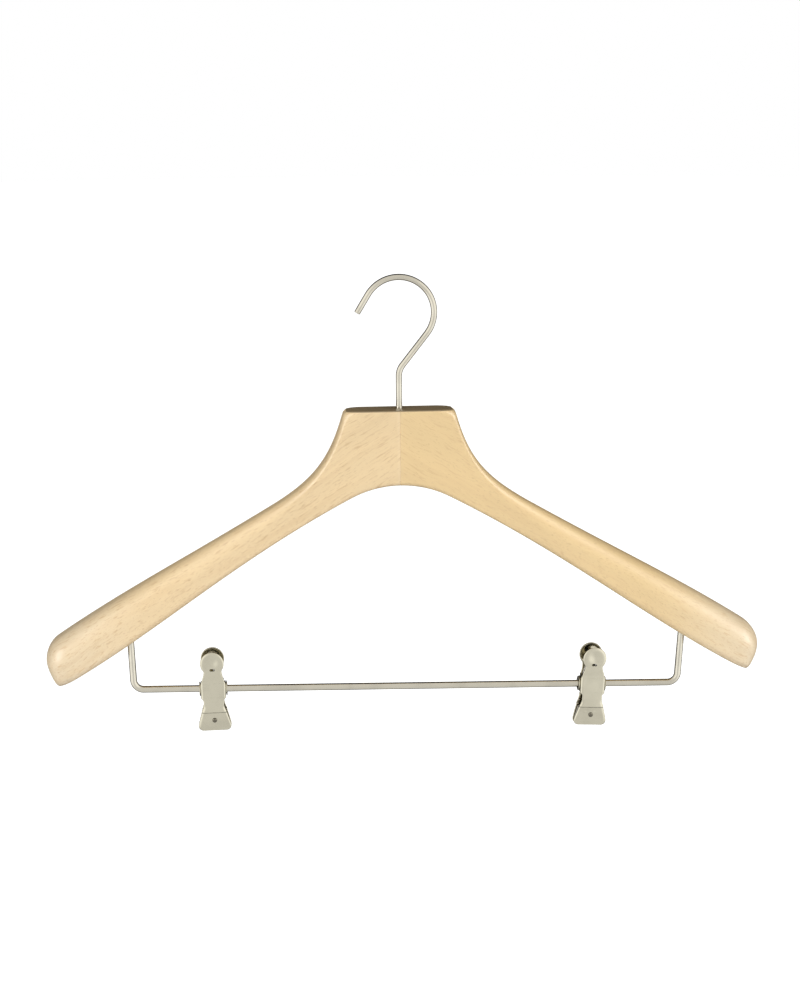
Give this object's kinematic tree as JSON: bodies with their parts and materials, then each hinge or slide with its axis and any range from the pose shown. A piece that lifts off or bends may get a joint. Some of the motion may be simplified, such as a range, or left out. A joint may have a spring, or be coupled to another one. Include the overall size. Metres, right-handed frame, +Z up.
{
  "type": "clip hanger",
  "caption": "Contoured wooden coat hanger with a swivel wire hook, a wire trouser bar under the arms and sprung metal clips that slide along the bar.",
  "frame": {"origin": "inside crown of the hook, where it rests on the top of a wardrobe rail", "axes": "+Z up along the hook's stem, +X along the hanger to the right as seen from the front, -Y to the front, where the arms bow to"},
  "size_m": [0.4498, 0.0587, 0.2911],
  "materials": {
    "beech_left": "clear satin lacquer on pale beech",
    "beech_right": "clear satin lacquer on pale beech",
    "dowel_wood": "raw beech",
    "nickel_wire": "polished nickel plate on steel wire",
    "nickel_sheet": "polished nickel plate on pressed steel",
    "spring_steel": "bare drawn spring wire",
    "zinc_plate": "zinc plate",
    "pad_rubber": "matt moulded rubber"
  },
  "bodies": {
    "hook_body": {"hook": "nickel_wire", "hook_washer": "zinc_plate"},
    "hanger_body": {"left_arm": "beech_left", "right_arm": "beech_right", "front_dowel": "dowel_wood", "rear_dowel": "dowel_wood", "hook_socket": "zinc_plate", "trouser_bar": "nickel_wire"},
    "left_clip_slider": {"left_clip_tube": "nickel_sheet"},
    "left_clip_rear": {"left_clip_rear_jaw": "nickel_sheet", "left_clip_rear_pad": "pad_rubber", "left_clip_rear_rivet": "nickel_sheet", "left_clip_spring": "spring_steel"},
    "left_clip_front": {"left_clip_front_jaw": "nickel_sheet", "left_clip_front_pad": "pad_rubber", "left_clip_front_rivet": "nickel_sheet"},
    "right_clip_slider": {"right_clip_tube": "nickel_sheet"},
    "right_clip_rear": {"right_clip_rear_jaw": "nickel_sheet", "right_clip_rear_pad": "pad_rubber", "right_clip_rear_rivet": "nickel_sheet", "right_clip_spring": "spring_steel"},
    "right_clip_front": {"right_clip_front_jaw": "nickel_sheet", "right_clip_front_pad": "pad_rubber", "right_clip_front_rivet": "nickel_sheet"}
  },
  "joints": [
    {"name": "hook_swivel", "type": "hinge", "parent": "hook_body", "child": "hanger_body", "pos_m": [0, 0, -0.0817], "axis": [0, 0, 1], "continuous": true},
    {"name": "left_clip_slide", "type": "slide", "parent": "hanger_body", "child": "left_clip_slider", "axis": [0.9999, 0, -0.0131], "range_m": [-0.0345, 0.108]},
    {"name": "left_clip_swing", "type": "hinge", "parent": "left_clip_slider", "child": "left_clip_rear", "pos_m": [-0.121, -0.01868, -0.25658], "axis": [0.9982, -0.0523, 0.0305], "continuous": true},
    {"name": "left_clip_open", "type": "hinge", "parent": "left_clip_rear", "child": "left_clip_front", "pos_m": [-0.121, -0.01868, -0.25658], "axis": [-0.9982, 0.0523, -0.0305], "range_deg": [0, 27], "stiffness_Nm_per_rad": 0.15, "springref_deg": -57.3, "deforming": ["left_clip_spring"]},
    {"name": "right_clip_slide", "type": "slide", "parent": "hanger_body", "child": "right_clip_slider", "axis": [0.9999, 0, -0.0131], "range_m": [-0.108, 0.0395]},
    {"name": "right_clip_swing", "type": "hinge", "parent": "right_clip_slider", "child": "right_clip_rear", "pos_m": [0.121, -0.01868, -0.25975], "axis": [0.997, 0.0523, -0.0566], "continuous": true},
    {"name": "right_clip_open", "type": "hinge", "parent": "right_clip_rear", "child": "right_clip_front", "pos_m": [0.121, -0.01868, -0.25975], "axis": [-0.997, -0.0523, 0.0566], "range_deg": [0, 27], "stiffness_Nm_per_rad": 0.15, "springref_deg": -57.3, "deforming": ["right_clip_spring"]}
  ]
}
